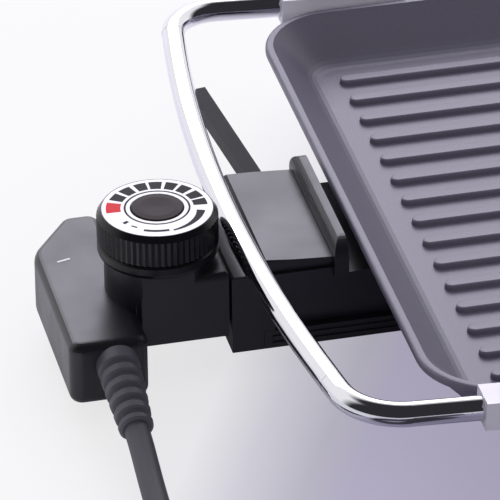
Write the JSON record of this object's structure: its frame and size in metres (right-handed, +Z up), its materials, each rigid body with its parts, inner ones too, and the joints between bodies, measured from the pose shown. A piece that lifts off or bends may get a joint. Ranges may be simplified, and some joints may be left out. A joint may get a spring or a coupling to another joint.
{
  "type": "electric table grill",
  "caption": "Shallow ribbed cast grill pan on a chromed tube frame with bowed handles, corner brackets with feet and a plug-in dial thermostat with cord and plug.",
  "frame": {"origin": "centre of the object's footprint without its cord, on the table under the rubber feet", "axes": "+X along the ribs, away from the thermostat; +Y across the ribs, away from the viewer; +Z up from the table"},
  "size_m": [0.5526, 0.4528, 0.0643],
  "materials": {
    "pan_coating": "dark grey non-stick coating on cast aluminium, satin",
    "element_sheath": "oxidised steel sheath",
    "spring_steel": "bright sheet steel",
    "pin_steel": "polished steel",
    "ceramic": "unglazed steatite",
    "black_moulding": "semi-gloss heat-resistant moulding",
    "chrome_tube": "bright chrome plate",
    "grey_bracket": "satin light grey",
    "foot_rubber": "matt",
    "screw_steel": "zinc plated",
    "probe_steel": "satin steel tube",
    "contact_brass": "plated brass",
    "scale_white": "white face",
    "centre_dark": "dark brown gloss cap",
    "mark_white": "white paint",
    "cord_rubber": "matt black sheath",
    "plug_rubber": "moulded, satin"
  },
  "bodies": {
    "grill": {"grill_plate": "pan_coating", "heating_element": "element_sheath", "element_clips": "spring_steel", "terminal_pins": "pin_steel", "terminal_insulator": "ceramic", "socket_housing": "black_moulding", "housing_cover": "black_moulding", "socket_collar": "black_moulding", "handle_bar_left": "chrome_tube", "handle_bar_right": "chrome_tube", "handle_yoke": "black_moulding", "bracket_left_near": "grey_bracket", "bracket_left_far": "grey_bracket", "bracket_right_near": "grey_bracket", "bracket_right_far": "grey_bracket", "rubber_feet": "foot_rubber", "bracket_screws": "screw_steel", "cover_screws": "screw_steel"},
    "thermostat": {"thermostat_upper_shell": "black_moulding", "thermostat_lower_shell": "black_moulding", "plug_nose": "black_moulding", "probe_tube": "probe_steel", "socket_contacts": "contact_brass", "ceramic_stack": "ceramic", "bimetal_blade": "contact_brass", "contact_blades": "contact_brass", "index_mark": "mark_white", "cord_clamp": "black_moulding", "shell_screws": "screw_steel", "cord_boot": "plug_rubber", "supply_cord": "cord_rubber", "cord_coil": "cord_rubber", "plug_body": "plug_rubber", "plug_pins": "pin_steel"},
    "dial": {"dial_grip": "black_moulding", "dial_scale": "scale_white", "dial_centre": "centre_dark", "dial_skirt": "black_moulding", "dial_spindle": "screw_steel"}
  },
  "joints": [
    {"name": "thermostat_pull", "type": "slide", "parent": "grill", "child": "thermostat", "axis": [-1, 0, 0], "range_m": [0, 0.09]},
    {"name": "dial_turn", "type": "hinge", "parent": "thermostat", "child": "dial", "pos_m": [-0.2377, -0.0144, 0.05], "axis": [0, 0, 1], "range_deg": [0, 280]}
  ]
}
